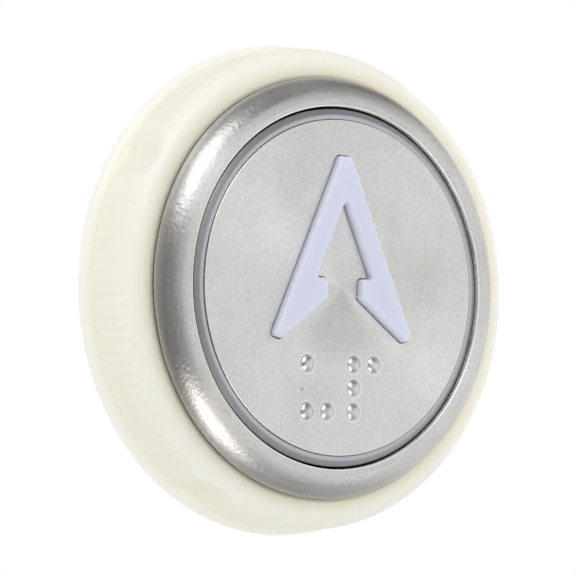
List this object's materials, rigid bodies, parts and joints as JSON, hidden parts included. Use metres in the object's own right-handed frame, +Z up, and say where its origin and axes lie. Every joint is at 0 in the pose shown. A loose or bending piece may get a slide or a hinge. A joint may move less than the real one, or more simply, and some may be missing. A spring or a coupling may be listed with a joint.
{
  "type": "lift call push button",
  "caption": "Round panel-mounted lift call button with a raised up arrow, Braille domes, halo lens, steel bezel, threaded barrel and ring nut.",
  "frame": {"origin": "centre of the bezel's rear seat, which is the plane of the panel's front face", "axes": "-Y out of the button's front, +Y into the panel along the barrel, +Z up along the arrow, +X right seen from the front"},
  "size_m": [0.0518, 0.0227, 0.0518],
  "materials": {
    "stainless": "turned and brushed round the axis, satin",
    "stainless_plate": "fine circular brushing, satin, embossed",
    "opal_lens": "opal moulding, soft gloss, faint lilac",
    "halo_tint": "translucent grey lilac moulding, gloss",
    "natural_nylon": "natural nylon, translucent cream, satin",
    "housing_black": "glass-filled black plastic, fine spark texture",
    "gasket_rubber": "black rubber, matt",
    "zinc_plate": "zinc-plated steel",
    "carrier_white": "white light-reflecting plastic",
    "board_green": "green solder resist",
    "led_phosphor": "yellow phosphor gel in white case",
    "switch_black": "moulded black plastic",
    "switch_red": "moulded red plastic",
    "connector_nylon": "natural white nylon",
    "tinned_brass": "tin-plated brass"
  },
  "bodies": {
    "housing": {"bezel": "stainless", "panel_gasket": "gasket_rubber", "barrel": "housing_black", "rear_cover": "housing_black", "circuit_board": "board_green", "switch_case": "switch_black", "connector_housing": "connector_nylon", "cover_screw_1": "zinc_plate", "cover_screw_2": "zinc_plate", "cover_screw_3": "zinc_plate", "led_1": "led_phosphor", "led_2": "led_phosphor", "led_3": "led_phosphor", "led_4": "led_phosphor", "led_5": "led_phosphor", "led_6": "led_phosphor", "switch_terminal_1": "tinned_brass", "switch_terminal_2": "tinned_brass", "switch_terminal_3": "tinned_brass", "connector_pin_1": "tinned_brass", "connector_pin_2": "tinned_brass", "connector_pin_3": "tinned_brass", "connector_pin_4": "tinned_brass", "return_spring_1": "zinc_plate", "return_spring_2": "zinc_plate", "return_spring_3": "zinc_plate"},
    "pressel": {"face_plate": "stainless_plate", "arrow_lens": "opal_lens", "halo_lens": "halo_tint", "plunger": "carrier_white"},
    "switch_button": {"switch_button": "switch_red"},
    "nut_washer": {"keyed_washer": "zinc_plate"},
    "nut": {"ring_nut": "natural_nylon"}
  },
  "joints": [
    {"name": "button_press", "type": "slide", "parent": "housing", "child": "pressel", "axis": [0, 1, 0], "range_m": [0, 0.001], "stiffness_N_per_m": 1500, "springref_m": -0.001, "deforming": ["return_spring_1", "return_spring_2", "return_spring_3"]},
    {"name": "switch_travel", "type": "slide", "parent": "housing", "child": "switch_button", "axis": [0, 1, 0], "range_m": [0, 0.001]},
    {"name": "washer_advance", "type": "slide", "parent": "housing", "child": "nut_washer", "axis": [0, 1, 0], "range_m": [0, 0.006]},
    {"name": "nut_turn", "type": "hinge", "parent": "nut_washer", "child": "nut", "pos_m": [0, 0, 0], "axis": [0, 1, 0], "range_deg": [0, 1440]}
  ],
  "couplings": [
    {"joint": "switch_travel", "follows": "button_press", "ratio": 1},
    {"joint": "washer_advance", "follows": "nut_turn", "m_per_rad": 0.0002387}
  ]
}
